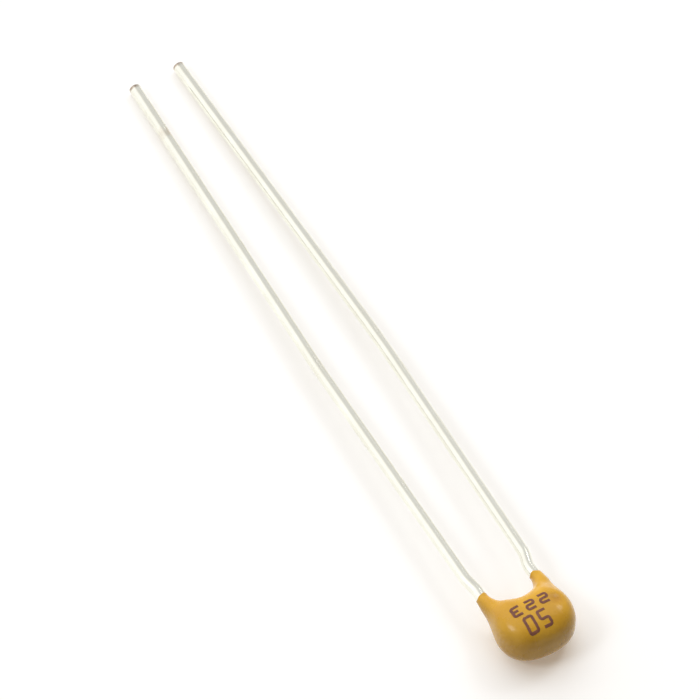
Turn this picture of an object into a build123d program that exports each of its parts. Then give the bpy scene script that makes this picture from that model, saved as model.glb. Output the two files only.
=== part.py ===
from build123d import *
from math import copysign, cos, hypot, pi, radians, sin, sqrt
import os

os.makedirs("parts", exist_ok=True)

# Radial-lead multilayer ceramic capacitor with a dipped coating, lying on its broad face.
# Millimetres. +X runs along the leads to their tips, +Z is up, the surface it lies on is z = 0.
# It is drawn about its exit point, midway between the leads where they leave the coating and
# at half the body's thickness, and moved to its place on the surface at the end.

# leads
lead_pitch = 2.54          # between the wires' centres where they leave the coating
wire_d = 0.50
lead_length = 30.0         # along X, from the coating to the tip
tip_pitch = 2.15           # between the wires' centres at the tips
kink_reach = 0.55          # the first bend, measured from the coating
splay_reach = 1.50         # the second bend
bow_reach = 13.4           # the soft bend half way along
left_splay = 0.14          # how far each wire stands outside its exit at the second bend
right_splay = 0.08
left_bow = 0.20            # the same at the soft bend
right_bow = 0.22
kink_radius = 1.5
splay_radius = 2.0
bow_radius = 60.0

# ceramic chip and its end caps
chip_width = 1.25          # along the leads
chip_thickness = 1.25
chip_edge_radius = 0.06
cap_thickness = 0.04
cap_band = 0.40            # how far an end cap wraps along the chip

# electrode plates inside the chip
plates_per_side = 6
plate_thickness = 0.03
plate_spacing = 0.08       # from one plate to the next, which belongs to the other side
plate_side_margin = 0.20   # bare ceramic beside a plate
plate_end_margin = 0.22    # bare ceramic between a plate and the opposite cap

# solder
wire_on_chip = 0.75        # length of wire soldered along the end cap
solder_half_height = 0.46  # of the fillet's foot on the end cap
solder_film = 0.03         # between the wire and the end cap
solder_skin = 0.04         # over the outside of the wire
solder_wrap = 80           # degrees round the wire from its outermost line to the fillet
solder_overrun = 0.08      # past the wire's inner end
solder_wick = 0.12         # along the wire, past the near side of the chip

# coating
rim_coat = 0.03            # over the wire at the very end of a horn
neck_coat = 0.11           # over the wire, above and below it, at the neck of a horn
waist_coat = 0.255         # the same at the waist, where the horn joins the body
waist_flare = 0.01         # how much further out the waist stands than the horn's end
side_coat = 0.17           # outside the wires, at the widest place
face_coat = 0.49           # over the broad faces of the chip
crown_coat = 0.57          # past the far side of the chip
web = 0.70                 # between the notch and the chip
notch_depth = 0.97
neck_back = 0.42           # how far behind the exits each place lies
waist_back = 0.98
hip_back = 2.33            # the widest place
corner_drop = 0.33         # how much the far corners fall back from the crown
corner_inset = 0.45        # how far the far corners lie inside the widest place
corner_thinning = 0.03     # how much each face has dropped at the far corners
hip_thinning = 0.19        # the same at the widest place
horn_swell = 0.12          # slope of the horn's top where it starts
horn_fullness = 2.0        # of a section; 2 is an ellipse and more is squarer
body_fullness = 2.55
section_step = 10          # degrees between the sections round the notch
quarter_points = 5         # points on each quarter of a section

# worked out
wire_r = wire_d / 2
half_pitch = lead_pitch / 2
half_thickness = chip_thickness / 2 + face_coat
horn_height = wire_r + rim_coat
horn_side = half_pitch + horn_height
horn_inner = half_pitch - horn_height
hip_side = half_pitch + wire_r + side_coat
crown_back = notch_depth + web + chip_width + crown_coat
chip_near_x = -notch_depth - web
chip_centre_x = chip_near_x - chip_width / 2
wire_end_x = chip_near_x - wire_on_chip
cap_outer_y = half_pitch - wire_r - solder_film
chip_end_y = cap_outer_y - cap_thickness
solder_end_bevel = solder_skin / 2
cap_edge_bevel = (chip_edge_radius + cap_thickness) * (2 - sqrt(2))
exit_point = ((crown_back - lead_length) / 2, 0, half_thickness)
sides = {"left": 1, "right": -1}
bends = {"left": (left_splay, left_bow), "right": (right_splay, right_bow)}


# ---- leads ----

def lead(name):
    """One wire: straight on the chip and through its horn, kinked just outside it, gently
    bowed, and sloping down until its tip lies on the surface."""
    side = sides[name]
    splay, bow = bends[name]
    tip_drop = half_thickness - wire_r
    slope = -tip_drop / (lead_length - kink_reach)
    path = FilletPolyline(
        (wire_end_x, side * half_pitch, 0),
        (kink_reach, side * half_pitch, 0),
        (splay_reach, side * (half_pitch + splay), slope * (splay_reach - kink_reach)),
        (bow_reach, side * (half_pitch + bow), slope * (bow_reach - kink_reach)),
        (lead_length, side * tip_pitch / 2, -tip_drop),
        radius=[kink_radius, splay_radius, bow_radius],
    )
    return sweep(Plane(path @ 0, z_dir=path % 0) * Circle(wire_r), path=path)


# ---- ceramic chip, end caps and electrodes ----

def chip_block():
    """The outer form of the ceramic block, with tumbled edges."""
    block = Pos(chip_centre_x, 0, 0) * Box(chip_width, 2 * chip_end_y, chip_thickness)
    return fillet(block.edges(), chip_edge_radius)


def termination(name):
    """End cap: a thin cup of fired metal over one end of the chip."""
    side = sides[name]
    length = cap_thickness + cap_band
    centre_y = side * (cap_outer_y - length / 2)
    outer = Pos(chip_centre_x, centre_y, 0) * Box(
        chip_width + 2 * cap_thickness, length, chip_thickness + 2 * cap_thickness)
    rim = outer.faces().sort_by(Axis.Y)[0 if side > 0 else -1]
    closed_edges = [edge for edge in outer.edges() if edge not in rim.edges()]
    return chamfer(closed_edges, cap_edge_bevel) - chip_block()


def electrode_plates(name):
    """Every second plate of the stack, each ending flush on its own end cap."""
    side = sides[name]
    count = 2 * plates_per_side
    length = 2 * chip_end_y - plate_end_margin
    centre_y = side * plate_end_margin / 2
    plate = Box(chip_width - 2 * plate_side_margin, length, plate_thickness)
    first = 0 if side > 0 else 1
    return [
        Pos(chip_centre_x, centre_y, (layer - (count - 1) / 2) * plate_spacing) * plate
        for layer in range(first, count, 2)
    ]


def ceramic_chip():
    """The block with a slot for each plate."""
    return chip_block() - (electrode_plates("left") + electrode_plates("right"))


# ---- solder ----

def solder(name):
    """Solder between one wire and its end cap: a skin round the wire with a concave fillet
    to the cap above and below."""
    side = sides[name]
    skin_r = wire_r + solder_skin
    turn = radians(solder_wrap)
    leave_y = half_pitch + skin_r * cos(turn)
    leave_z = skin_r * sin(turn)
    foot_top = (cap_outer_y, solder_half_height)
    foot_bottom = (cap_outer_y, -solder_half_height)
    round_wire = ThreePointArc((leave_y, -leave_z), (half_pitch + skin_r, 0), (leave_y, leave_z))
    upper = TangentArc((leave_y, leave_z), foot_top, tangent=(-sin(turn), cos(turn)))
    lower = TangentArc((leave_y, -leave_z), foot_bottom, tangent=(-sin(turn), -cos(turn)))
    profile = make_face([round_wire, upper, Line(foot_top, foot_bottom), lower])
    length = wire_on_chip + solder_overrun + solder_wick
    start = Plane((wire_end_x - solder_overrun, 0, 0), x_dir=(0, 1, 0), z_dir=(1, 0, 0))
    bar = extrude(start * profile, length)
    ends = bar.faces().filter_by(Axis.X).edges()
    bar = chamfer([edge for edge in ends if edge.geom_type == GeomType.CIRCLE],
                  solder_end_bevel)
    if side < 0:
        bar = mirror(bar, Plane.XZ)
    return bar - lead(name)


# ---- coating ----

def coating_guide():
    """Curve along one side of the coating's edge, from the end of the horn to the middle of
    the crown. Its height is the half thickness of the coating at that place."""
    return Spline(
        (0, horn_side, horn_height),
        (-neck_back, horn_side, wire_r + neck_coat),
        (-waist_back, horn_side + waist_flare, wire_r + waist_coat),
        (-hip_back, hip_side, half_thickness - hip_thinning),
        (corner_drop - crown_back, hip_side - corner_inset, half_thickness - corner_thinning),
        (-crown_back, 0, half_thickness),
        tangents=[(-1, 0, horn_swell), (0, -1, 0)],
    )


def on_section(turn, half_width, half_height, fullness):
    """Point of a superellipse at an angle round it."""
    across = copysign(abs(cos(turn)) ** (2 / fullness), cos(turn))
    up = copysign(abs(sin(turn)) ** (2 / fullness), sin(turn))
    return (half_width * across, half_height * up)


def rounded_section(plane, half_width, half_height, fullness):
    """Closed face of four splines, one for each quarter."""
    quarters = []
    for quarter in range(4):
        turns = [pi / 2 * (quarter + step / (quarter_points - 1)) for step in range(quarter_points)]
        points = [on_section(turn, half_width, half_height, fullness) for turn in turns]
        headings = [(-sin(turn), cos(turn)) for turn in (turns[0], turns[-1])]
        quarters.append(Spline(
            *[plane.from_local_coords(point) for point in points],
            tangents=[plane.from_local_coords(heading) - plane.origin for heading in headings],
        ))
    return make_face(quarters)


def coating_section(guide, angle):
    """Upright section of the coating on a plane that fans out from the exit point, from the
    notch's edge to the guide. The angle is 0 at the crown and 90 at either horn."""
    if abs(angle) == 90:
        edge_point = guide @ 0
    else:
        across_fan = (sin(radians(abs(angle))), cos(radians(angle)), 0)
        edge_point = Vector(*guide.intersect(Plane((0, 0, 0), z_dir=across_fan))[0])
    outer_reach = hypot(edge_point.X, edge_point.Y)
    direction = Vector(-cos(radians(angle)), sin(radians(angle)), 0)
    inner_reach = 1 / hypot(direction.X / notch_depth, direction.Y / horn_inner)
    plane = Plane(
        direction * ((outer_reach + inner_reach) / 2),
        x_dir=direction,
        z_dir=direction.cross(Vector(0, 0, 1)),
    )
    swell = (edge_point.Z - horn_height) / (half_thickness - horn_height)
    fullness = horn_fullness + (body_fullness - horn_fullness) * swell
    return rounded_section(plane, (outer_reach - inner_reach) / 2, edge_point.Z, fullness)


def coating():
    """The dipped skin: one loft that starts at the end of the left horn, turns round the notch
    through the body and ends at the right horn, cut by all that it was dipped over."""
    guide = coating_guide()
    sections = [coating_section(guide, angle) for angle in range(90, -91, -section_step)]
    outer = loft(sections)
    inside = [chip_block()]
    for name in sides:
        inside += [termination(name), solder(name), lead(name)]
    return outer - inside


# ---- all pieces, in their place on the surface ----

def write_parts():
    parts = {"coating": coating(), "ceramic_chip": ceramic_chip()}
    for name in sides:
        parts["lead_" + name] = lead(name)
        parts["solder_" + name] = solder(name)
        parts["termination_" + name] = termination(name)
        parts["electrodes_" + name] = Compound(children=electrode_plates(name))
    for name, part in parts.items():
        placed = Pos(*exit_point) * part
        export_step(placed, "parts/" + name + ".step")
        print(name, "volume", round(placed.volume, 4), "mm3")


write_parts()
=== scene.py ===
import bpy
import math
import numpy as np
from mathutils import Matrix, Vector


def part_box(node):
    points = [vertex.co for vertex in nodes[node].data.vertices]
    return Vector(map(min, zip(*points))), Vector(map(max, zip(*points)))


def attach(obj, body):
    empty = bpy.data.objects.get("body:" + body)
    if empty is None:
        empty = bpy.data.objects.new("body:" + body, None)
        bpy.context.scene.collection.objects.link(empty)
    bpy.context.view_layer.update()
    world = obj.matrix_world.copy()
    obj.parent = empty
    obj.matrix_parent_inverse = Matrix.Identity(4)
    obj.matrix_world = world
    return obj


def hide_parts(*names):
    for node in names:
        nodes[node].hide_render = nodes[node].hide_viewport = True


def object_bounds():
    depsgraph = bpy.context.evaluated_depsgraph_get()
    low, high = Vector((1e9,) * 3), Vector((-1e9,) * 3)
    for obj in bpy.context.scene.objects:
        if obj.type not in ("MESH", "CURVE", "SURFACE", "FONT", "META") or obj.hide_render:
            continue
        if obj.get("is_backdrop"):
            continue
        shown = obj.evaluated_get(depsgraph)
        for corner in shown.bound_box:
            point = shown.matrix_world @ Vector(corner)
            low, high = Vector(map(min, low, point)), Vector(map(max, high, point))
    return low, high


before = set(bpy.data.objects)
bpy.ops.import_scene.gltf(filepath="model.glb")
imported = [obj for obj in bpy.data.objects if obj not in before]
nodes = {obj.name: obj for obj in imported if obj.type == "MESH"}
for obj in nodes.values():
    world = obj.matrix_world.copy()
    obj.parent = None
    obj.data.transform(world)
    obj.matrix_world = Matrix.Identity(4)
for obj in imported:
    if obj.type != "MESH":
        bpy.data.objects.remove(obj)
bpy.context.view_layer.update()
mm = 0.001
print("frame loaded:", len(nodes), "nodes")


# small helpers for node trees: a value that is fed in may be another node's socket or a plain number
def feed(tree, socket, value):
    if isinstance(value, bpy.types.NodeSocket):
        tree.links.new(value, socket)
    elif value is not None:
        socket.default_value = value


def add(tree, kind, settings=None, **values):
    node = tree.nodes.new(kind)
    for key, value in (settings or {}).items():
        setattr(node, key, value)
    for name, value in values.items():
        feed(tree, node.inputs[name.replace("_", " ")], value)
    return node


def calc(tree, operation, first, second=None, third=None):
    node = tree.nodes.new("ShaderNodeMath")
    node.operation = operation
    for socket, value in zip(node.inputs, (first, second, third)):
        feed(tree, socket, value)
    return node.outputs[0]


def calcVector(tree, operation, first, second=None, scale=None):
    node = tree.nodes.new("ShaderNodeVectorMath")
    node.operation = operation
    for index, value in ((0, first), (1, second), (3, scale)):      # the third is for other operations
        feed(tree, node.inputs[index], value)
    return node.outputs["Value"] if operation in ("LENGTH", "DOT_PRODUCT") else node.outputs[0]


def clamped(tree, value):
    return calc(tree, "MINIMUM", calc(tree, "MAXIMUM", value, 0.0), 1.0)


def bell(tree, distance):      # 1 in the middle, about a third at a distance of 1, and soon nothing
    squared = calc(tree, "MULTIPLY", distance, distance)
    return calc(tree, "POWER", math.e, calc(tree, "MULTIPLY", squared, -1.0))


def smoothStep(tree, value, start, end):
    step = add(tree, "ShaderNodeMapRange", {"interpolation_type": "SMOOTHSTEP"}, Value=value,
               From_Min=start, From_Max=end)
    return step.outputs["Result"]


def mixColours(tree, share, first, second):
    node = add(tree, "ShaderNodeMix", {"data_type": "RGBA"})
    for index, value in ((0, share), (6, first), (7, second)):      # where a colour mix has its inputs
        feed(tree, node.inputs[index], value)
    return node.outputs[2]


def unevenness(tree, seed, scale, roughness=0.5):      # slow noise over the place, from about -0.5 to 0.5
    noise = add(tree, "ShaderNodeTexNoise", {"noise_dimensions": "4D"}, Detail=1.0, Roughness=roughness,
                W=seed, Scale=scale)
    return calc(tree, "SUBTRACT", noise.outputs["Fac"], 0.5)


def newTree(name, kind, inputs, outputs):
    tree = bpy.data.node_groups.new(name, kind)
    for label, socketKind, value in inputs:
        socket = tree.interface.new_socket(label, in_out="INPUT", socket_type="NodeSocket" + socketKind)
        if value is not None:
            socket.default_value = value
    for label, socketKind in outputs:
        tree.interface.new_socket(label, in_out="OUTPUT", socket_type="NodeSocket" + socketKind)
    return tree, tree.nodes.new("NodeGroupInput").outputs, tree.nodes.new("NodeGroupOutput").inputs


def newGeometryTree(name, inputs):
    shape = ("Geometry", "Geometry")
    return newTree(name, "GeometryNodeTree", [(*shape, None)] + inputs, [shape])


def endTree(tree, out, geometry, material):
    shaded = add(tree, "GeometryNodeSetShadeSmooth", Geometry=geometry).outputs[0]
    solid = add(tree, "GeometryNodeRealizeInstances", Geometry=shaded).outputs[0]
    finished = add(tree, "GeometryNodeSetMaterial", Geometry=solid, Material=material).outputs[0]
    tree.links.new(finished, out["Geometry"])


def intoScene(piece):
    bpy.context.scene.collection.objects.link(piece)
    return piece


# runs a tree on a curve and keeps the plain mesh: trees work in millimetres, and pieces are in metres
def grow(name, source, tree, values, scale=mm):
    modifier = source.modifiers.new("grow", "NODES")
    modifier.node_group = tree
    sockets = {s.name: s.identifier for s in tree.interface.items_tree if s.in_out == "INPUT"}
    for label, value in values.items():
        modifier[sockets[label]] = value
    bpy.context.view_layer.update()
    seen = source.evaluated_get(bpy.context.evaluated_depsgraph_get())
    mesh = bpy.data.meshes.new_from_object(seen)
    mesh.name = name
    mesh.transform(Matrix.Scale(scale, 4))
    bpy.data.objects.remove(source)
    return intoScene(bpy.data.objects.new(name, mesh))


def newLines(name, lines):      # each point is x, y, z and the radius of its rounded corner
    curve = bpy.data.curves.new(name, "CURVE")
    curve.dimensions = "3D"
    for points, closed in lines:
        spline = curve.splines.new("POLY")
        spline.points.add(len(points) - 1)
        for target, (x, y, z, bend) in zip(spline.points, points):
            target.co = (x, y, z, 1)
            target.radius = bend
        spline.use_cyclic_u = closed
    return intoScene(bpy.data.objects.new(name, curve))


grains = {                     # octaves in each noise of the finishes, and how strong the finer ones are
    "cloud": (3.0, 0.5),
    "speck": (2.0, 0.6),
    "fine": (3.0, 0.55),
    "ripple": (1.0, 0.4),
    "cloudSpan": (0.3, 0.7),   # what the cloud noise reads where the tone is wholly light and wholly dark
    "spotRagged": 0.6,         # how far a spot's edge strays, as a share of its reach
    "spotRaggedPerMm": 6,
}


def grainNoise(tree, name, place, size):
    detail, roughness = grains[name]
    noise = add(tree, "ShaderNodeTexNoise", Vector=place, Scale=calc(tree, "DIVIDE", 1 / mm, size),
                Detail=detail, Roughness=roughness)
    return noise.outputs["Fac"]


def buildCloudyTone():
    tree, given, out = newTree("cloudyTone", "ShaderNodeTree", [
        ("Light", "Color", (1, 1, 1, 1)), ("Dark", "Color", (0, 0, 0, 1)), ("Cloud Size", "Float", 1.0),
        ("Speck Size", "Float", 0.1), ("Speck Amount", "Float", 0.2), ("Smooth", "Float", 0.3),
        ("Rough", "Float", 0.5)], [("Color", "Color"), ("Roughness", "Float")])
    place = tree.nodes.new("ShaderNodeTexCoord").outputs["Object"]
    low, high = grains["cloudSpan"]
    cloud = add(tree, "ShaderNodeMapRange", Value=grainNoise(tree, "cloud", place, given["Cloud Size"]),
                From_Min=low, From_Max=high).outputs["Result"]
    speck = calc(tree, "SUBTRACT", grainNoise(tree, "speck", place, given["Speck Size"]), 0.5)
    speck = calc(tree, "MULTIPLY", speck, given["Speck Amount"])
    dark = clamped(tree, calc(tree, "ADD", cloud, speck))
    tree.links.new(mixColours(tree, dark, given["Light"], given["Dark"]), out["Color"])
    gap = calc(tree, "SUBTRACT", given["Rough"], given["Smooth"])
    tree.links.new(calc(tree, "MULTIPLY_ADD", dark, gap, given["Smooth"]), out["Roughness"])
    return tree


def buildStretchedGrain():
    tree, given, out = newTree("stretchedGrain", "ShaderNodeTree", [
        ("Grain Size", "Float", 0.1), ("Stretch", "Float", 1.0), ("Ripple Size", "Float", 0.5),
        ("Ripple Share", "Float", 0.5)], [("Height", "Float")])
    place = tree.nodes.new("ShaderNodeTexCoord").outputs["Object"]
    squeeze = add(tree, "ShaderNodeCombineXYZ", X=calc(tree, "DIVIDE", 1.0, given["Stretch"]), Y=1.0, Z=1.0)
    place = calcVector(tree, "MULTIPLY", place, squeeze.outputs[0])
    fine = grainNoise(tree, "fine", place, given["Grain Size"])
    ripple = grainNoise(tree, "ripple", place, given["Ripple Size"])
    mixed = tree.nodes.new("ShaderNodeMix")
    for index, value in ((0, given["Ripple Share"]), (2, fine), (3, ripple)):      # a mix of numbers
        feed(tree, mixed.inputs[index], value)
    tree.links.new(mixed.outputs[0], out["Height"])
    return tree


def buildSpotMask():           # whole up to 1 - Fade of its reach, and gone at 1 + Fade / 2 of it
    tree, given, out = newTree("spotMask", "ShaderNodeTree", [
        ("Centre", "Vector", (0, 0, 0)), ("Reach", "Float", 0.1), ("Fade", "Float", 0.3)],
        [("Mask", "Float")])
    place = tree.nodes.new("ShaderNodeTexCoord").outputs["Object"]
    away = calcVector(tree, "LENGTH", calcVector(tree, "SUBTRACT", place, given["Centre"]))
    away = calc(tree, "DIVIDE", calc(tree, "DIVIDE", away, mm), given["Reach"])
    noise = add(tree, "ShaderNodeTexNoise", Vector=place, Scale=grains["spotRaggedPerMm"] / mm, Detail=1.0)
    ragged = calc(tree, "SUBTRACT", noise.outputs["Fac"], 0.5)
    away = calc(tree, "MULTIPLY_ADD", ragged, grains["spotRagged"], away)
    start = calc(tree, "SUBTRACT", 1.0, given["Fade"])
    end = calc(tree, "MULTIPLY_ADD", given["Fade"], 0.5, 1.0)
    tree.links.new(calc(tree, "SUBTRACT", 1.0, smoothStep(tree, away, start, end)), out["Mask"])
    return tree


cloudyTone = buildCloudyTone()
stretchedGrain = buildStretchedGrain()
spotMask = buildSpotMask()


def placeGroup(tree, group, values):
    node = tree.nodes.new("ShaderNodeGroup")
    node.node_tree = group
    for label, value in values.items():
        node.inputs[label].default_value = value
    return node.outputs


def newMaterial(name, look):
    material = bpy.data.materials.new(name)
    material.use_nodes = True
    tree = material.node_tree
    surface = tree.nodes["Principled BSDF"]
    surface.inputs["Metallic"].default_value = look.get("metallic", 0.0)
    surface.inputs["Specular IOR Level"].default_value = look.get("specular", 0.5)
    tone = placeGroup(tree, cloudyTone, look["tone"])
    tree.links.new(tone["Color"], surface.inputs["Base Color"])
    tree.links.new(tone["Roughness"], surface.inputs["Roughness"])
    grain = placeGroup(tree, stretchedGrain, look["grain"])
    bump = add(tree, "ShaderNodeBump", Height=grain["Height"], Strength=1.0,
               Distance=look["bumpHeight"] * mm)
    tree.links.new(bump.outputs["Normal"], surface.inputs["Normal"])
    return material


def rubSpot(material, centre, reach, fade, colour):      # gives the finish another tone round one place
    tree = material.node_tree
    base = tree.nodes["Principled BSDF"].inputs["Base Color"]
    mask = placeGroup(tree, spotMask, {"Centre": centre, "Reach": reach, "Fade": fade})["Mask"]
    tree.links.new(mixColours(tree, mask, base.links[0].from_socket, colour), base)


def srgb(red, green, blue):      # a screen colour, 0 to 255, as the shaders take it
    parts = [v / 255 for v in (red, green, blue)]
    return (*[v / 12.92 if v <= 0.04045 else ((v + 0.055) / 1.055) ** 2.4 for v in parts], 1)


# sizes in millimetres; Smooth is the roughness where the tone is light, and Rough where it is dark
looks = {
    "epoxy": {
        "tone": {"Light": srgb(217, 165, 38), "Dark": srgb(200, 147, 24), "Cloud Size": 1.1,
                 "Speck Size": 0.09, "Speck Amount": 0.5, "Smooth": 0.22, "Rough": 0.32},
        "grain": {"Grain Size": 0.12, "Stretch": 1.0, "Ripple Size": 0.55, "Ripple Share": 0.75},
        "bumpHeight": 0.03, "specular": 0.38},
    "tinnedWire": {
        "metallic": 1.0,
        "tone": {"Light": srgb(232, 231, 221), "Dark": srgb(223, 221, 209), "Cloud Size": 1.2,
                 "Speck Size": 0.12, "Speck Amount": 0.5, "Smooth": 0.18, "Rough": 0.28},
        "grain": {"Grain Size": 0.05, "Stretch": 14.0, "Ripple Size": 0.3, "Ripple Share": 0.4},
        "bumpHeight": 0.003},
    "ink": {
        "tone": {"Light": srgb(128, 76, 50), "Dark": srgb(102, 54, 40), "Cloud Size": 0.25,
                 "Speck Size": 0.04, "Speck Amount": 0.8, "Smooth": 0.5, "Rough": 0.65},
        "grain": {"Grain Size": 0.05, "Stretch": 1.0, "Ripple Size": 0.2, "Ripple Share": 0.5},
        "bumpHeight": 0.004},
    "dielectric": {
        "tone": {"Light": srgb(190, 162, 128), "Dark": srgb(168, 138, 106), "Cloud Size": 0.5,
                 "Speck Size": 0.04, "Speck Amount": 0.8, "Smooth": 0.6, "Rough": 0.75},
        "grain": {"Grain Size": 0.03, "Stretch": 1.0, "Ripple Size": 0.2, "Ripple Share": 0.3},
        "bumpHeight": 0.003},
    "solder": {
        "metallic": 1.0,
        "tone": {"Light": srgb(205, 205, 203), "Dark": srgb(176, 176, 175), "Cloud Size": 0.3,
                 "Speck Size": 0.05, "Speck Amount": 0.5, "Smooth": 0.22, "Rough": 0.4},
        "grain": {"Grain Size": 0.06, "Stretch": 1.0, "Ripple Size": 0.25, "Ripple Share": 0.6},
        "bumpHeight": 0.006},
    "firedSilver": {
        "metallic": 1.0,
        "tone": {"Light": srgb(206, 203, 196), "Dark": srgb(178, 174, 165), "Cloud Size": 0.3,
                 "Speck Size": 0.03, "Speck Amount": 0.8, "Smooth": 0.4, "Rough": 0.55},
        "grain": {"Grain Size": 0.03, "Stretch": 1.0, "Ripple Size": 0.15, "Ripple Share": 0.3},
        "bumpHeight": 0.003},
    "electrodeMetal": {
        "metallic": 1.0,
        "tone": {"Light": srgb(168, 163, 154), "Dark": srgb(138, 133, 125), "Cloud Size": 0.3,
                 "Speck Size": 0.03, "Speck Amount": 0.6, "Smooth": 0.35, "Rough": 0.5},
        "grain": {"Grain Size": 0.03, "Stretch": 1.0, "Ripple Size": 0.15, "Ripple Share": 0.3},
        "bumpHeight": 0.002},
}
materials = {name: newMaterial(name, look) for name, look in looks.items()}
print("materials:", len(materials))


# the sealed inner pieces keep their CAD solids
innerFinish = {"ceramic_chip": "dielectric", "electrodes": "electrodeMetal", "termination": "firedSilver",
               "solder": "solder"}
for name, node in nodes.items():
    for start, finish in innerFinish.items():
        if name.startswith(start):
            node.data.materials.clear()
            node.data.materials.append(materials[finish])
print("inner pieces finished")


coat = {                                # millimetres, from the point midway between the wires' exits
    "horn": (0.0, 1.535, 0.265),        # back, aside and half height of the guide at each place
    "neck": (0.42, 1.55, 0.36),
    "waist": (0.98, 1.56, 0.505),
    "hip": (2.33, 1.69, 0.925),
    "corner": (3.16, 1.24, 1.085),
    "crown": (3.49, 0.0, 1.115),
    "hornSlope": 0.12,                  # how fast a horn thickens from its end
    "notchDepth": 0.97,                 # the notch between the horns is half an ellipse
    "notchHalfWidth": 1.005,
    "hornFullness": 2.0,                # 2 is an ellipse across, and more is squarer
    "bodyFullness": 2.55,
    "lipRadius": 0.03,
    "waveHeight": 0.035,                # slow waves in the dipped surface
    "waveSize": 1.1,
    "waveRoughness": 0.35,
    "waveFade": (0.05, 1.2),            # how far from a horn's end they begin and are whole
    "edgeWave": 0.4,                    # how far the film's edge runs up and down the wire
    "edgeWavesPerMm": 2.2,
    "edgeReach": 0.5,                   # how far from the edge this is still felt
    "rightLean": 0.07,                  # the right horn's end follows its wire inwards by this much
    "leanLength": 0.6,
    "hollows": [                        # back, aside, 1 on top or -1 beneath, reach and depth
        (2.03, -1.03, 1, 0.26, 0.06),
        (2.6, 0.7, -1, 0.5, 0.03)],
    "hollowShadePlace": (-2.03, -1.03, 1.03),  # painted shade over the hollow by the right shoulder: a darker tone round that pit
    "hollowShadeReach": 0.3,
    "hollowShadeFade": 0.8,
    "hollowShadeTone": srgb(188, 134, 24),
    "weldGap": 0.00001,                 # closer points than this become one
    "guideSteps": 64,
    "sections": 300,
    "around": 144,
    "seed": 4.0,
}


# the smoothest curve through the points that leaves and arrives in the given headings, as Bezier handles
def throughPoints(points, startHeading, endHeading):
    points = np.array(points, float)
    steps = np.linalg.norm(np.diff(points, axis=0), axis=1)
    count = len(points)
    system = np.eye(count)
    known = np.zeros((count, 3))
    known[0] = np.array(startHeading) / np.linalg.norm(startHeading)
    known[-1] = np.array(endHeading) / np.linalg.norm(endHeading)
    for i in range(1, count - 1):
        before, after = steps[i - 1], steps[i]
        system[i, i - 1:i + 2] = after, 2 * (before + after), before
        rise = after * (points[i] - points[i - 1]) / before
        nextRise = before * (points[i + 1] - points[i]) / after
        known[i] = 3 * (rise + nextRise)
    slopes = np.linalg.solve(system, known)
    before = points - slopes * np.append(steps[:1], steps)[:, None] / 3
    after = points + slopes * np.append(steps, steps[-1:])[:, None] / 3
    return points, before, after


# the coating's outer line from the left horn round the crown to the right one, with its half height as Z
def coatGuide():
    stations = [coat[k] for k in ("horn", "neck", "waist", "hip", "corner", "crown")]
    half = [(-back, aside, height) for back, aside, height in stations]
    points, before, after = throughPoints(half, (-1, 0, coat["hornSlope"]), (0, -1, 0))
    mirror = np.array([1, -1, 1])
    knots = list(zip(points, before, after))
    other = [(p * mirror, a * mirror, b * mirror) for p, b, a in knots[:-1]]
    crown, beforeCrown = knots[-1][:2]
    knots[-1] = (crown, beforeCrown, beforeCrown * mirror)
    curve = bpy.data.curves.new("coatGuide", "CURVE")
    curve.dimensions = "3D"
    curve.resolution_u = coat["guideSteps"]
    spline = curve.splines.new("BEZIER")
    spline.bezier_points.add(len(knots) + len(other) - 1)
    for target, (point, left, right) in zip(spline.bezier_points, knots + other[::-1]):
        target.handle_left_type = target.handle_right_type = "FREE"
        target.co, target.handle_left, target.handle_right = point, left, right
    return intoScene(bpy.data.objects.new("coatGuide", curve))


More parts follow.
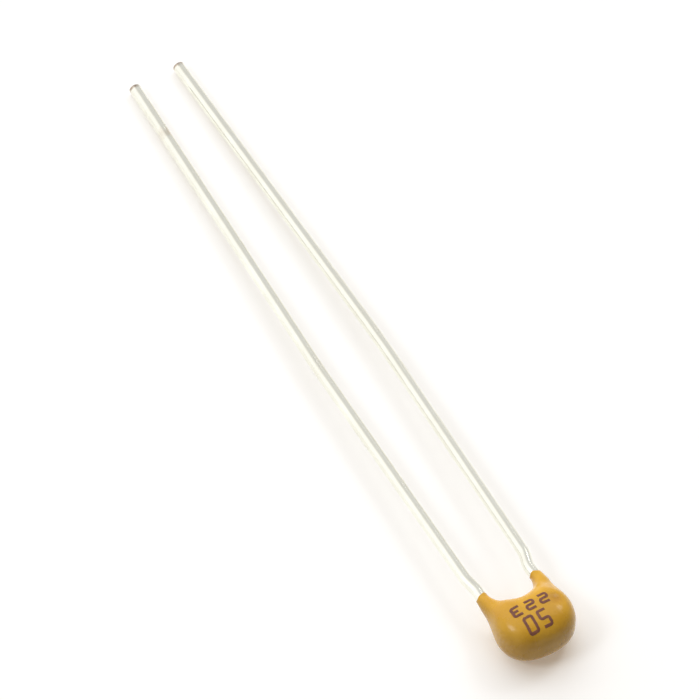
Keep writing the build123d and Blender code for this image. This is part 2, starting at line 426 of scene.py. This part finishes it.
# each section lies on a ray from the point between the wires' exits: it reaches from the notch's ellipse
# to the guide, and the guide's Z is half its height
def sectionsToGuide(tree, given, share, turn, fromEnd):
    sample = add(tree, "GeometryNodeSampleCurve", {"mode": "FACTOR"}, Curves=given["Geometry"],
                 Factor=share)
    onGuide = add(tree, "ShaderNodeSeparateXYZ", Vector=sample.outputs["Position"]).outputs
    reach = calc(tree, "SQRT", calc(tree, "ADD", calc(tree, "MULTIPLY", onGuide["X"], onGuide["X"]),
                                    calc(tree, "MULTIPLY", onGuide["Y"], onGuide["Y"])))
    headX = calc(tree, "DIVIDE", onGuide["X"], reach)
    headY = calc(tree, "DIVIDE", onGuide["Y"], reach)
    alongNotch = calc(tree, "POWER", calc(tree, "DIVIDE", headX, given["Notch Depth"]), 2.0)
    acrossNotch = calc(tree, "POWER", calc(tree, "DIVIDE", headY, given["Notch Half Width"]), 2.0)
    inner = calc(tree, "DIVIDE", 1.0, calc(tree, "SQRT", calc(tree, "ADD", alongNotch, acrossNotch)))
    middle = calc(tree, "MULTIPLY", calc(tree, "ADD", reach, inner), 0.5)
    halfWidth = calc(tree, "MULTIPLY", calc(tree, "SUBTRACT", reach, inner), 0.5)
    swell = calc(tree, "DIVIDE", calc(tree, "SUBTRACT", onGuide["Z"], given["Horn Height"]),
                 calc(tree, "SUBTRACT", given["Body Height"], given["Horn Height"]))
    gain = calc(tree, "SUBTRACT", given["Body Fullness"], given["Horn Fullness"])
    power = calc(tree, "DIVIDE", 2.0, calc(tree, "MULTIPLY_ADD", swell, gain, given["Horn Fullness"]))

    def squarer(value):
        return calc(tree, "MULTIPLY", calc(tree, "SIGN", value),
                    calc(tree, "POWER", calc(tree, "ABSOLUTE", value), power))

    inLip = calc(tree, "SUBTRACT", 1.0, calc(tree, "DIVIDE", fromEnd, given["Lip Radius"]))
    inLip = calc(tree, "MAXIMUM", inLip, 0.0)
    arc = calc(tree, "SQRT", calc(tree, "SUBTRACT", 1.0, calc(tree, "MULTIPLY", inLip, inLip)))
    roundIn = calc(tree, "SUBTRACT", 1.0, arc)
    lipShare = calc(tree, "DIVIDE", given["Lip Radius"], given["Horn Height"])
    lip = calc(tree, "SUBTRACT", 1.0, calc(tree, "MULTIPLY", roundIn, lipShare))
    pastEnd = calc(tree, "GREATER_THAN", fromEnd, 0.0)      # the first and last sections close to a point
    lip = calc(tree, "MULTIPLY", lip, pastEnd)
    across = calc(tree, "MULTIPLY", squarer(calc(tree, "COSINE", turn)), halfWidth)
    upward = calc(tree, "MULTIPLY", squarer(calc(tree, "SINE", turn)), onGuide["Z"])
    radius = calc(tree, "ADD", middle, calc(tree, "MULTIPLY", across, lip))
    return add(tree, "ShaderNodeCombineXYZ", X=calc(tree, "MULTIPLY", headX, radius),
               Y=calc(tree, "MULTIPLY", headY, radius), Z=calc(tree, "MULTIPLY", upward, lip)).outputs[0]


def buildCoatTree():
    tree, given, out = newGeometryTree("dippedCoat", [
        ("Sections", "Int", 100), ("Around", "Int", 64), ("Notch Depth", "Float", 1.0),
        ("Notch Half Width", "Float", 1.0), ("Horn Height", "Float", 0.3), ("Body Height", "Float", 1.0),
        ("Horn Fullness", "Float", 2.0), ("Body Fullness", "Float", 2.5), ("Lip Radius", "Float", 0.03),
        ("Wave Height", "Float", 0.01), ("Wave Size", "Float", 1.0), ("Wave Roughness", "Float", 0.5),
        ("Wave Start", "Float", 0.0), ("Wave Whole", "Float", 1.0), ("Edge Wave", "Float", 0.1),
        ("Edge Waves Per Mm", "Float", 1.0), ("Edge Reach", "Float", 0.5), ("Right Lean", "Float", 0.0),
        ("Lean Length", "Float", 1.0), ("Seed", "Float", 0.0), ("Place", "Vector", None),
        ("Material", "Material", None)])
    grid = add(tree, "GeometryNodeMeshGrid", Size_X=1.0, Size_Y=1.0, Vertices_X=given["Sections"],
               Vertices_Y=calc(tree, "ADD", given["Around"], 1)).outputs["Mesh"]
    place = tree.nodes.new("GeometryNodeInputPosition").outputs[0]
    cell = add(tree, "ShaderNodeSeparateXYZ", Vector=place).outputs
    turn = calc(tree, "MULTIPLY", calc(tree, "ADD", cell["Y"], 0.5), 2 * math.pi)
    along = calc(tree, "MULTIPLY", calc(tree, "ADD", cell["X"], 0.5), math.pi)
    eased = calc(tree, "COSINE", along)      # sections crowd towards the horns
    share = calc(tree, "MULTIPLY", calc(tree, "SUBTRACT", 1.0, eased), 0.5)
    length = add(tree, "GeometryNodeCurveLength", Curve=given["Geometry"]).outputs[0]
    nearer = calc(tree, "MINIMUM", share, calc(tree, "SUBTRACT", 1.0, share))
    fromEnd = calc(tree, "MULTIPLY", nearer, length)
    skin = calcVector(tree, "ADD", sectionsToGuide(tree, given, share, turn, fromEnd), given["Place"])
    body = add(tree, "GeometryNodeStoreNamedAttribute", Geometry=grid, Name="fromEnd",
               Value=fromEnd).outputs[0]
    body = add(tree, "GeometryNodeSetPosition", Geometry=body, Position=skin).outputs[0]
    body = add(tree, "GeometryNodeMergeByDistance", Geometry=body, Distance=coat["weldGap"]).outputs[0]

    # the set resin: slow waves and a few shallow hollows
    distance = add(tree, "GeometryNodeInputNamedAttribute", Name="fromEnd").outputs[0]
    waveScale = calc(tree, "DIVIDE", 1.0, given["Wave Size"])
    wave = unevenness(tree, given["Seed"], waveScale, given["Wave Roughness"])
    lift = calc(tree, "MULTIPLY", wave, given["Wave Height"])
    whole = smoothStep(tree, distance, given["Wave Start"], given["Wave Whole"])
    lift = calc(tree, "MULTIPLY", lift, whole)
    for back, aside, up, reach, depth in coat["hollows"]:
        centre = calcVector(tree, "ADD", given["Place"], (-back, aside, up))
        away = calcVector(tree, "SUBTRACT", place, centre)
        away = calcVector(tree, "MULTIPLY", away, (1, 1, 0.5))      # height counts for half
        away = calc(tree, "DIVIDE", calcVector(tree, "LENGTH", away), reach)
        lift = calc(tree, "MULTIPLY_ADD", bell(tree, away), -depth, lift)
    outward = tree.nodes.new("GeometryNodeInputNormal").outputs[0]
    body = add(tree, "GeometryNodeSetPosition", Geometry=body,
               Offset=calcVector(tree, "SCALE", outward, scale=lift)).outputs[0]

    # at the horns the film's edge runs unevenly along the wire, and the right one leans inwards
    atEdge = calc(tree, "SUBTRACT", 1.0, smoothStep(tree, distance, 0.0, given["Edge Reach"]))
    edgeWave = unevenness(tree, given["Seed"], given["Edge Waves Per Mm"])
    shift = calc(tree, "MULTIPLY", calc(tree, "MULTIPLY", edgeWave, given["Edge Wave"]), atEdge)
    fromExit = calcVector(tree, "SUBTRACT", place, given["Place"])
    fromExit = add(tree, "ShaderNodeSeparateXYZ", Vector=fromExit).outputs
    lean = calc(tree, "ADD", calc(tree, "DIVIDE", fromExit["X"], given["Lean Length"]), 1.0)
    onRight = calc(tree, "LESS_THAN", fromExit["Y"], 0.0)
    lean = calc(tree, "MULTIPLY", clamped(tree, lean), onRight)
    lean = calc(tree, "MULTIPLY", lean, given["Right Lean"])
    body = add(tree, "GeometryNodeSetPosition", Geometry=body,
               Offset=add(tree, "ShaderNodeCombineXYZ", X=shift, Y=lean).outputs[0]).outputs[0]
    body = add(tree, "GeometryNodeRemoveAttribute", Geometry=body, Name="fromEnd").outputs[0]
    endTree(tree, out, body, given["Material"])
    return tree


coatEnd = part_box("coating")[1].x / mm
exitPoint = Vector((coatEnd, 0, coat["crown"][2]))
dippedCoating = grow("dippedCoating", coatGuide(), buildCoatTree(), {
    "Sections": coat["sections"], "Around": coat["around"], "Notch Depth": coat["notchDepth"],
    "Notch Half Width": coat["notchHalfWidth"], "Horn Height": coat["horn"][2],
    "Body Height": coat["crown"][2], "Horn Fullness": coat["hornFullness"],
    "Body Fullness": coat["bodyFullness"], "Lip Radius": coat["lipRadius"],
    "Wave Height": coat["waveHeight"], "Wave Size": coat["waveSize"],
    "Wave Roughness": coat["waveRoughness"], "Wave Start": coat["waveFade"][0],
    "Wave Whole": coat["waveFade"][1], "Edge Wave": coat["edgeWave"],
    "Edge Waves Per Mm": coat["edgeWavesPerMm"], "Edge Reach": coat["edgeReach"],
    "Right Lean": coat["rightLean"], "Lean Length": coat["leanLength"], "Seed": coat["seed"],
    "Place": tuple(exitPoint), "Material": materials["epoxy"]})
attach(dippedCoating, "root")
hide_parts("coating")
# painted shade: the hollow by the right shoulder is given a darker tone round it
hollowShadeCentre = (exitPoint + Vector(coat["hollowShadePlace"])) * mm
rubSpot(materials["epoxy"], hollowShadeCentre, coat["hollowShadeReach"], coat["hollowShadeFade"], coat["hollowShadeTone"])
print("coating:", len(dippedCoating.data.polygons), "faces")


wire = {                                # millimetres, forwards from the same point
    "radius": 0.25,
    "halfPitch": 1.27,
    "innerEnd": -2.42,
    "kink": (0.42, 1.2),                # how far along the wire each bend is, and its radius
    "splay": (1.10, 1.2),
    "bow": (13.4, 60.0),
    "kinkIn": {"left": 0.0, "right": 0.12},       # and how far in or out of the pitch it stands
    "splayOut": {"left": 0.12, "right": 0.07},
    "bowOut": {"left": 0.18, "right": 0.22},
    "tip": {"left": 29.95, "right": 30.12},
    "tipHalfPitch": 1.075,
    "step": 0.06,                       # from one ring of points to the next
    "sides": 36,
    "bendSteps": 40,
    "uneven": 0.008,                    # drawn wire isn't quite even
    "unevenPerMm": 0.6,
    "seed": {"left": 1.0, "right": 7.0},
    "cutRound": 0.035,                  # the edge of a cut end is rounded by this much
    "cutSteps": 3,
    "cutAngle": 50,                     # in degrees: only edges sharper than this are rounded
    "cutFace": srgb(158, 138, 120),     # copper and steel show where the wire was cut
    "cutMargin": 0.04,                  # how far round the edge that tone runs
    "cutFade": 0.25,
    "markBack": {"left": 2.85, "right": 12.5},    # a tool's mark on each wire, measured back from its tip
    "markDepth": {"left": 0.012, "right": 0.006},
    "markLength": 0.24,
    "markReach": 0.34,                  # the left mark is also rubbed to another tone
    "markFade": 0.8,
    "markTone": srgb(208, 198, 182),
}


def wirePath(name):
    side = 1 if name == "left" else -1
    half = wire["halfPitch"]
    drop = coat["crown"][2] - wire["radius"]
    kink, splay, bow, tip = wire["kink"], wire["splay"], wire["bow"], wire["tip"][name]
    slope = -drop / (tip - kink[0])
    corners = [
        (wire["innerEnd"], half, 0, 0),
        (-coat["leanLength"], half, 0, kink[1]),
        (kink[0], half - wire["kinkIn"][name], 0, kink[1]),
        (splay[0], half + wire["splayOut"][name], slope * (splay[0] - kink[0]), splay[1]),
        (bow[0], half + wire["bowOut"][name], slope * (bow[0] - kink[0]), bow[1]),
        (tip, wire["tipHalfPitch"], -drop, 0),
    ]
    placed = [(x + exitPoint.x, side * y + exitPoint.y, z + exitPoint.z, bend) for x, y, z, bend in corners]
    return newLines("path_" + name, [(placed, False)])


def tipPlace(name):
    side = 1 if name == "left" else -1
    drop = coat["crown"][2] - wire["radius"]
    return exitPoint + Vector((wire["tip"][name], side * wire["tipHalfPitch"], -drop))


def buildWireTree():
    tree, given, out = newGeometryTree("drawnWire", [
        ("Wire Radius", "Float", 0.25), ("Step", "Float", 0.1), ("Sides", "Int", 24),
        ("Bend Steps", "Int", 16), ("Mark Place", "Float", 0.0), ("Mark Depth", "Float", 0.0),
        ("Mark Length", "Float", 0.2), ("Uneven", "Float", 0.0), ("Uneven Per Mm", "Float", 1.0),
        ("Seed", "Float", 0.0), ("Material", "Material", None)])
    bend = tree.nodes.new("GeometryNodeInputRadius").outputs[0]
    path = add(tree, "GeometryNodeFilletCurve", {"mode": "POLY"}, Curve=given["Geometry"],
               Count=given["Bend Steps"], Radius=bend, Limit_Radius=True).outputs[0]
    path = add(tree, "GeometryNodeResampleCurve", {"mode": "LENGTH"}, Curve=path,
               Length=given["Step"]).outputs[0]
    path = add(tree, "GeometryNodeSetCurveRadius", Curve=path, Radius=1.0).outputs[0]
    along = tree.nodes.new("GeometryNodeSplineParameter").outputs["Length"]
    total = add(tree, "GeometryNodeCurveLength", Curve=path).outputs[0]
    path = add(tree, "GeometryNodeStoreNamedAttribute", Geometry=path, Name="toTip",
               Value=calc(tree, "SUBTRACT", total, along)).outputs[0]
    ring = add(tree, "GeometryNodeCurvePrimitiveCircle", Resolution=given["Sides"],
               Radius=given["Wire Radius"]).outputs[0]
    tube = add(tree, "GeometryNodeCurveToMesh", Curve=path, Profile_Curve=ring, Fill_Caps=True).outputs[0]
    toTip = add(tree, "GeometryNodeInputNamedAttribute", Name="toTip").outputs[0]
    fromMark = calc(tree, "SUBTRACT", toTip, given["Mark Place"])
    dent = bell(tree, calc(tree, "DIVIDE", fromMark, given["Mark Length"]))
    dent = calc(tree, "MULTIPLY", dent, given["Mark Depth"])
    uneven = unevenness(tree, given["Seed"], given["Uneven Per Mm"])
    lift = calc(tree, "SUBTRACT", calc(tree, "MULTIPLY", uneven, given["Uneven"]), dent)
    outward = tree.nodes.new("GeometryNodeInputNormal").outputs[0]
    behindCut = calc(tree, "GREATER_THAN", toTip, 0.001)      # the cut face stays flat and in place
    tube = add(tree, "GeometryNodeSetPosition", Geometry=tube, Selection=behindCut,
               Offset=calcVector(tree, "SCALE", outward, scale=lift)).outputs[0]
    tube = add(tree, "GeometryNodeRemoveAttribute", Geometry=tube, Name="toTip").outputs[0]
    endTree(tree, out, tube, given["Material"])
    return tree


def roundCutEnds(piece):
    bevel = piece.modifiers.new("cutEdge", "BEVEL")
    bevel.width = wire["cutRound"] * mm
    bevel.segments = wire["cutSteps"]
    bevel.limit_method = "ANGLE"
    bevel.angle_limit = math.radians(wire["cutAngle"])
    bpy.context.view_layer.update()
    seen = piece.evaluated_get(bpy.context.evaluated_depsgraph_get())
    mesh = bpy.data.meshes.new_from_object(seen)
    piece.modifiers.remove(bevel)
    piece.data = mesh


wireTree = buildWireTree()
for side, seed in wire["seed"].items():
    lead = grow("tinnedLead_" + side, wirePath(side), wireTree, {
        "Wire Radius": wire["radius"], "Step": wire["step"], "Sides": wire["sides"],
        "Bend Steps": wire["bendSteps"], "Mark Place": wire["markBack"][side],
        "Mark Depth": wire["markDepth"][side], "Mark Length": wire["markLength"],
        "Uneven": wire["uneven"], "Uneven Per Mm": wire["unevenPerMm"], "Seed": seed,
        "Material": materials["tinnedWire"]})
    roundCutEnds(lead)
    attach(lead, "root")
    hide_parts("lead_" + side)
    rubSpot(materials["tinnedWire"], tipPlace(side) * mm, wire["radius"] + wire["cutMargin"],
            wire["cutFade"], wire["cutFace"])
    print("lead", side, len(lead.data.polygons), "faces")
leftTip = tipPlace("left")
inward = (exitPoint + Vector((wire["splay"][0], wire["halfPitch"], 0)) - leftTip).normalized()
markPlace = leftTip + inward * wire["markBack"]["left"]
rubSpot(materials["tinnedWire"], markPlace * mm, wire["markReach"], wire["markFade"], wire["markTone"])


numbers = {                             # millimetres; they read along +Y, their tops away from the leads
    "rows": [                           # digits, the row's middle, its shift aside and its height
        ("223", -1.86, 0.10, 0.42),
        ("50", -2.68, 0.20, 0.70)],
    "width": 0.36,
    "pitch": 0.64,
    "stroke": 0.12,
    "cornerRadius": 0.07,
    "cornerSteps": 8,
    "lean": -0.06,                      # how far the rows run askew
    "thickness": 0.008,
    "sunk": 0.012,                      # how deep the ink's underside lies in the coating
    "pointGap": 0.025,
    "bandPoints": 16,
    "ragged": 0.03,                     # how far the stamped edges stray
    "raggedPerMm": 14.0,
    "dropFrom": 10.0,                   # the height from which the ink comes down on the coating
}
strokes = {                             # each digit is drawn in lines, in a cell 1 wide and 1 high
    "0": [([(0, 0), (1, 0), (1, 1), (0, 1)], True)],
    "2": [([(0, 1), (1, 1), (1, 0.52), (0, 0.48), (0, 0), (1, 0)], False)],
    "3": [([(0, 1), (1, 1), (1, 0), (0, 0)], False), ([(0.3, 0.5), (0.86, 0.5)], False)],
    "5": [([(1, 1), (0, 1), (0, 0.54), (1, 0.54), (1, 0), (0, 0)], False)],
}


def digitLines():
    lines = []
    for digits, rowBack, shift, height in numbers["rows"]:
        start = shift - (len(digits) - 1) * numbers["pitch"] / 2
        for i, digit in enumerate(digits):
            for points, closed in strokes[digit]:
                placed = []
                for x, y in points:
                    along = start + i * numbers["pitch"] + (x - 0.5) * numbers["width"]
                    up = (y - 0.5) * height
                    lean = numbers["lean"] * along
                    placed.append((exitPoint.x + rowBack - up + lean, along, 0, numbers["cornerRadius"]))
                lines.append((placed, closed))
    return lines


# a flat band follows each line, and is then laid on the coating with its height along the surface's normal
def buildNumbersTree():
    tree, given, out = newGeometryTree("printedLine", [
        ("Surface", "Object", None), ("Stroke", "Float", 0.1), ("Thickness", "Float", 0.01),
        ("Sunk", "Float", 0.01), ("Corner Steps", "Int", 8), ("Point Gap", "Float", 0.05),
        ("Band Points", "Int", 16), ("Ragged", "Float", 0.0), ("Ragged Per Mm", "Float", 10.0),
        ("Drop From", "Float", 0.01), ("Unit", "Float", 0.001), ("Material", "Material", None)])
    bend = tree.nodes.new("GeometryNodeInputRadius").outputs[0]
    line = add(tree, "GeometryNodeFilletCurve", {"mode": "POLY"}, Curve=given["Geometry"],
               Count=given["Corner Steps"], Radius=bend, Limit_Radius=True).outputs[0]
    line = add(tree, "GeometryNodeResampleCurve", {"mode": "LENGTH"}, Curve=line,
               Length=given["Point Gap"]).outputs[0]
    line = add(tree, "GeometryNodeSetCurveRadius", Curve=line, Radius=1.0).outputs[0]
    line = add(tree, "GeometryNodeSetCurveNormal", {"mode": "Z_UP"}, Curve=line).outputs[0]
    band = add(tree, "GeometryNodeCurvePrimitiveQuadrilateral", Width=given["Stroke"],
               Height=calc(tree, "ADD", given["Thickness"], given["Sunk"])).outputs[0]
    band = add(tree, "GeometryNodeResampleCurve", {"mode": "COUNT"}, Curve=band,
               Count=given["Band Points"]).outputs[0]
    ink = add(tree, "GeometryNodeCurveToMesh", Curve=line, Profile_Curve=band, Fill_Caps=True).outputs[0]
    place = tree.nodes.new("GeometryNodeInputPosition").outputs[0]
    noise = add(tree, "ShaderNodeTexNoise", Vector=place, Scale=given["Ragged Per Mm"], Detail=2.0)
    ragged = calcVector(tree, "SUBTRACT", noise.outputs["Color"], (0.5, 0.5, 0.5))
    flat = add(tree, "ShaderNodeCombineXYZ", X=given["Ragged"], Y=given["Ragged"]).outputs[0]
    ragged = calcVector(tree, "MULTIPLY", ragged, flat)
    ink = add(tree, "GeometryNodeSetPosition", Geometry=ink, Offset=ragged).outputs[0]
    spot = add(tree, "ShaderNodeSeparateXYZ", Vector=place).outputs
    above = add(tree, "ShaderNodeCombineXYZ", X=calc(tree, "MULTIPLY", spot["X"], given["Unit"]),
                Y=calc(tree, "MULTIPLY", spot["Y"], given["Unit"]), Z=given["Drop From"]).outputs[0]
    target = add(tree, "GeometryNodeObjectInfo", {"transform_space": "RELATIVE"}, Object=given["Surface"])
    hit = add(tree, "GeometryNodeRaycast", Target_Geometry=target.outputs["Geometry"],
              Source_Position=above, Ray_Direction=(0, 0, -1),
              Ray_Length=calc(tree, "MULTIPLY", given["Drop From"], 2.0))
    middle = calc(tree, "SUBTRACT", given["Thickness"], given["Sunk"])
    level = calc(tree, "MULTIPLY", calc(tree, "MULTIPLY_ADD", middle, 0.5, spot["Z"]), given["Unit"])
    onSkin = calcVector(tree, "ADD", hit.outputs["Hit Position"],
                        calcVector(tree, "SCALE", hit.outputs["Hit Normal"], scale=level))
    ink = add(tree, "GeometryNodeSetPosition", Geometry=ink, Position=onSkin).outputs[0]
    endTree(tree, out, ink, given["Material"])
    return tree


printedNumbers = grow("printedNumbers", newLines("digits", digitLines()), buildNumbersTree(), {
    "Surface": dippedCoating, "Stroke": numbers["stroke"], "Thickness": numbers["thickness"],
    "Sunk": numbers["sunk"], "Corner Steps": numbers["cornerSteps"], "Point Gap": numbers["pointGap"],
    "Band Points": numbers["bandPoints"], "Ragged": numbers["ragged"],
    "Ragged Per Mm": numbers["raggedPerMm"], "Drop From": numbers["dropFrom"] * mm, "Unit": mm,
    "Material": materials["ink"]}, scale=1)      # this tree ends in metres, as the coating is
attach(printedNumbers, "root")
print("printed numbers:", len(printedNumbers.data.polygons), "faces")


studio = {
    "lamps": {                 # heading, height (degrees), distance, size (metres) and share of the light
        "left": (80, 47, 0.7, 0.22, 0.17),
        "right": (-68, 46, 0.7, 0.2, 0.11),
    },
    "sky": {                   # heading and height of the brightest part, the cosines of the angles from it
        "axis": (-8, 48),      # where it fades out and is whole, and the strength outside it and in it
        "range": (0.5, 0.97),
        "level": (0.07, 2.15),
    },
    "shine": {                 # the same for what the metal and the gloss show
        "axis": (70, 15),
        "range": (0.22, 0.72),
        "level": (0.76, 1.3),
    },
    "skyShade": (1.0, 0.94, 0.84, 1),         # the tint of the light from the sky's weaker parts
    "floorSize": 3.0,
    "floorDrop": 0.00002,                     # the floor lies a hair below the part
    "floorRoughness": 0.9,
    "floorColour": (0.705, 0.75, 0.795, 1),
    "floorBounce": (0.55, 0.55, 0.55, 1),     # its colour where it only throws light back at the part
    "floorGlow": (0.32, 0.262, 0.207, 1),     # what the eye sees beyond what the floor reflects
    "floorShine": (0.50, 0.455, 0.40, 1),     # the same where it is mirrored in the metal
    "seenFrom": (-239.5, 139.3, 380.2),       # the camera's place and first aim in millimetres
    "firstAim": (22.7, -0.4, 0.0),
    "lens": 590,
    "sensor": 36,
    "clipStart": 0.01,
}


def toward(heading, height):
    heading, height = math.radians(heading), math.radians(height)
    level = math.cos(height)
    return Vector((math.cos(heading) * level, math.sin(heading) * level, math.sin(height)))


def buildFloor():
    half = studio["floorSize"] / 2
    mesh = bpy.data.meshes.new("floor")
    corners = [(-half, -half, 0), (half, -half, 0), (half, half, 0), (-half, half, 0)]
    mesh.from_pydata(corners, [], [(0, 1, 2, 3)])
    floor = intoScene(bpy.data.objects.new("floor", mesh))
    floor.location.z = -studio["floorDrop"]
    material = bpy.data.materials.new("paleFloor")
    material.use_nodes = True
    tree = material.node_tree
    surface = tree.nodes["Principled BSDF"]
    path = tree.nodes.new("ShaderNodeLightPath").outputs
    bounced = path["Is Diffuse Ray"]
    colour = mixColours(tree, bounced, studio["floorColour"], studio["floorBounce"])
    tree.links.new(colour, surface.inputs["Base Color"])
    glow = mixColours(tree, path["Is Glossy Ray"], studio["floorGlow"], studio["floorShine"])
    tree.links.new(glow, surface.inputs["Emission Color"])
    tree.links.new(calc(tree, "SUBTRACT", 1.0, bounced), surface.inputs["Emission Strength"])
    surface.inputs["Roughness"].default_value = studio["floorRoughness"]
    surface.inputs["Specular IOR Level"].default_value = 0.0
    mesh.materials.append(material)
    floor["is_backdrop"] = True


def buildLamps():
    for name, (heading, height, distance, size, share) in studio["lamps"].items():
        lamp = bpy.data.lights.new(name, "AREA")
        lamp.shape = "SQUARE"
        lamp.size = size
        direction = toward(heading, height)
        lamp.energy = share * (math.pi * distance) ** 2 / direction.z
        holder = intoScene(bpy.data.objects.new(name, lamp))
        holder.location = direction * distance
        holder.rotation_euler = direction.to_track_quat("Z", "Y").to_euler()


def buildSky():
    world = bpy.data.worlds.new("studio")
    bpy.context.scene.world = world
    world.use_nodes = True
    tree = world.node_tree
    background = tree.nodes["Background"]
    direction = tree.nodes.new("ShaderNodeTexCoord").outputs["Generated"]
    glow = {}
    level = {}
    for name in ("sky", "shine"):
        light = studio[name]
        nearness = calcVector(tree, "DOT_PRODUCT", direction, tuple(toward(*light["axis"])))
        glow[name] = smoothStep(tree, nearness, *light["range"])
        low, high = light["level"]
        level[name] = calc(tree, "MULTIPLY_ADD", glow[name], high - low, low)
    path = tree.nodes.new("ShaderNodeLightPath").outputs
    glossy = path["Is Glossy Ray"]
    seen = calc(tree, "MAXIMUM", path["Is Camera Ray"], path["Is Transmission Ray"])
    gap = calc(tree, "SUBTRACT", level["shine"], level["sky"])
    strength = calc(tree, "MULTIPLY_ADD", gap, glossy, level["sky"])
    strength = calc(tree, "MAXIMUM", strength, seen)      # a plain white background
    tree.links.new(strength, background.inputs["Strength"])
    neutral = calc(tree, "MAXIMUM", glow["sky"], calc(tree, "MAXIMUM", seen, glossy))
    tint = mixColours(tree, neutral, studio["skyShade"], (1, 1, 1, 1))
    tree.links.new(tint, background.inputs["Color"])


# the camera keeps its place and turns from its first aim to the middle of the part
def buildCamera():
    seenFrom = Vector(studio["seenFrom"]) * mm
    first = Vector(studio["firstAim"]) * mm - seenFrom
    low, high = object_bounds()
    camera = bpy.data.cameras.new("camera")
    camera.sensor_width = studio["sensor"]
    camera.lens = studio["lens"]
    camera.clip_start = studio["clipStart"]
    holder = intoScene(bpy.data.objects.new("camera", camera))
    holder.location = seenFrom
    holder.rotation_mode = "QUATERNION"
    turn = first.rotation_difference((low + high) / 2 - seenFrom)
    holder.rotation_quaternion = turn @ first.to_track_quat("-Z", "Y")
    bpy.context.scene.camera = holder


buildFloor()
buildLamps()
buildSky()
buildCamera()
bpy.context.scene.view_settings.view_transform = "Standard"
print("studio ready")
